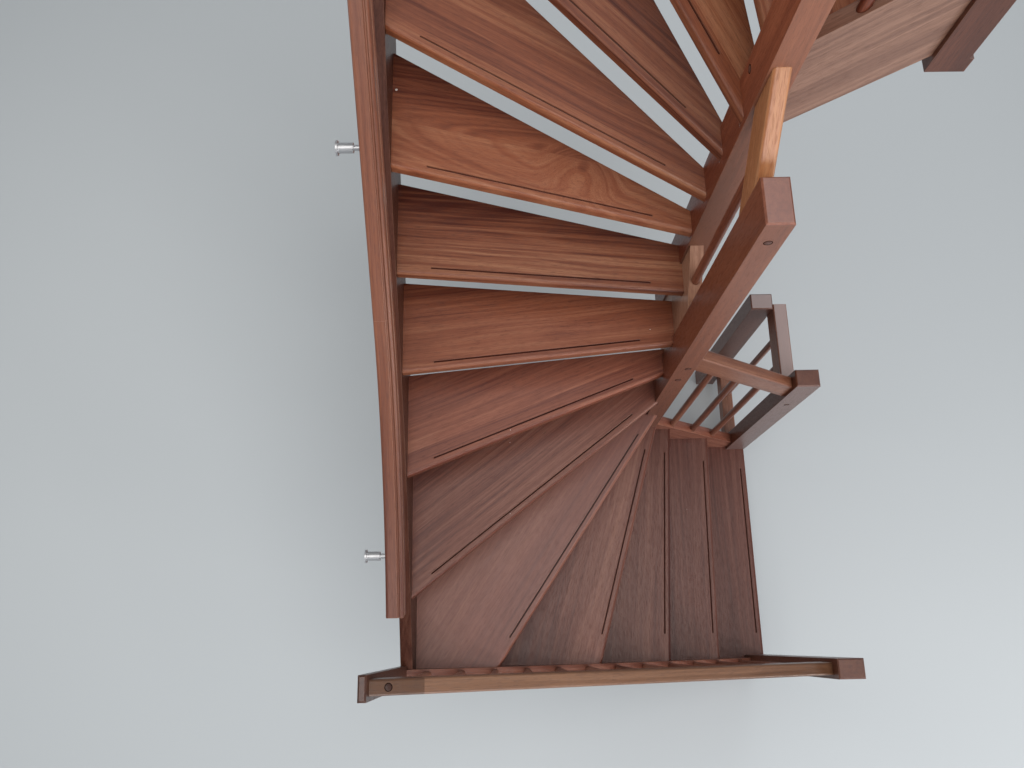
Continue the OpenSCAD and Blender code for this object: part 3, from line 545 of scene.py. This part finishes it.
RAIL_SLOPE = math.radians(OUTER_RAIL_PITCH)
RAIL_TOP = (math.sin(RAIL_SLOPE), 0, math.cos(RAIL_SLOPE))
for name, at, facing, wood, slot in (
        ("plug_newel_lower_top", (-0.0024, -0.054, 2.3185), (0, -1, 0),
         plug_wood, "newel_wood"),
        ("plug_newel_lower_mid", (0.0063, -0.054, 1.4554), (0, -1, 0),
         plug_wood, "newel_wood"),
        ("plug_newel_lower_low", (-0.0022, -0.054, 1.3416), (0, -1, 0),
         plug_wood, "newel_wood"),
        ("plug_newel_start", (0.4751, -0.030, 0.9278), (0, -1, 0), plug_wood, "newel_wood"),
        ("plug_newel_upper_top", (-0.0305, 0.3025, 2.4105), (-1, 0, 0),
         plug_wood, "newel_wood"),
        ("plug_newel_upper_low", (-0.0305, 0.3118, 2.2815), (-1, 0, 0),
         plug_wood, "newel_wood"),
        ("plug_handrail_outer", (-0.837, -0.934, 1.8144), RAIL_TOP,
         dark_plug_wood, "rail_wood")):
    plug = mesh_piece(name, plug_shape, wood, plug_shadow)
    plug.matrix_world = (Matrix.Translation(at)
                         @ Vector(facing).to_track_quat("Z", "Y").to_matrix().to_4x4())
    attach(plug, "root")


# Floor. A plain pale floor, which is not part of the stair. It gets paler further away, where
# the lamps do not reach, so that it meets the backdrop softly.
FLOOR_HALF, FLOOR_LEVEL = 60.0, -0.001
NEAR_FLOOR, FAR_FLOOR = (0.46, 0.49, 0.51, 1), (0.95, 0.96, 0.97, 1)
PALER_FROM, PALER_TO = 6.5, 15.0
pale, matt, place = new_finish("pale_floor")
away = place.vector_maths("LENGTH", place, out=1)
far = away.between(PALER_FROM, PALER_TO, 0.0, 1.0, "SMOOTHSTEP")
far.node("Mix", {"data_type": "RGBA"}, {0: far, 6: NEAR_FLOOR, 7: FAR_FLOOR},
         2).into(matt, "Base Color")
matt.inputs["Roughness"].default_value = 0.8
floor = mesh_piece("floor", lambda shape: bmesh.ops.create_grid(
    shape, x_segments=1, y_segments=1, size=FLOOR_HALF), pale)
floor.location.z = FLOOR_LEVEL


# Light. A pale room from all sides, a wide soft lamp overhead and weaker ones all round.
# Each lamp has its place, the point that it faces, its side in metres, its watts and colour.
ROOM, ROOM_STRENGTH = (0.92, 0.96, 1.0, 1), 0.25
world = bpy.data.worlds.new("pale_room")
bpy.context.scene.world = world
world.use_nodes = True
room = world.node_tree.nodes["Background"]
room.inputs["Color"].default_value = ROOM
room.inputs["Strength"].default_value = ROOM_STRENGTH
for name, at, target, side, power, colour in (
        ("overhead", (0.3, -1.2, 7.5), (0.0, -0.6, 1.2), 6.0, 322, (1.0, 0.98, 0.95)),
        ("front", (1.5, -6.0, 3.5), (0.0, 0.0, 1.6), 4.0, 255, (0.95, 0.97, 1.0)),
        ("side", (4.2, -2.9, 1.9), (0.0, -0.1, 1.1), 1.1, 75, (1.0, 0.96, 0.92)),
        ("back", (1.0, 6.0, 3.5), (0.0, 0.3, 1.6), 4.0, 90, (0.97, 0.98, 1.0)),
        ("west", (-4.0, 0.4, 4.0), (0.0, 0.3, 2.2), 3.0, 60, (1.0, 0.96, 0.90))):
    light = bpy.data.lights.new(name, "AREA")
    light.size, light.energy, light.color = side, power, colour
    lamp = bpy.data.objects.new(name, light)
    lamp.location = at
    lamp.rotation_euler = (Vector(target) - Vector(at)).to_track_quat("-Z", "Y").to_euler()
    bpy.context.scene.collection.objects.link(lamp)


# Camera. On the upper floor, looking steeply down into the stair. Its place, its turn and its
# lens come from the upright newels and the level edges.
EYE = Vector((-0.566, -0.844, 3.960))
RIGHT = Vector((0.99976376, -0.01980778, 0.00894856))
DOWN = Vector((-0.01639807, -0.95760359, -0.28762209))
AHEAD = Vector((0.01426633, 0.2874074, -0.95770218))
lens = bpy.data.cameras.new("camera")
lens.lens, lens.sensor_width = 30.51, 36.0
lens.clip_start, lens.clip_end = 0.05, 100.0
camera = bpy.data.objects.new("camera", lens)
camera.matrix_world = Matrix.Translation(EYE) @ Matrix(
    (RIGHT, -DOWN, -AHEAD)).transposed().to_4x4()
bpy.context.scene.collection.objects.link(camera)
bpy.context.scene.camera = camera
bpy.context.scene.view_settings.view_transform = "Standard"
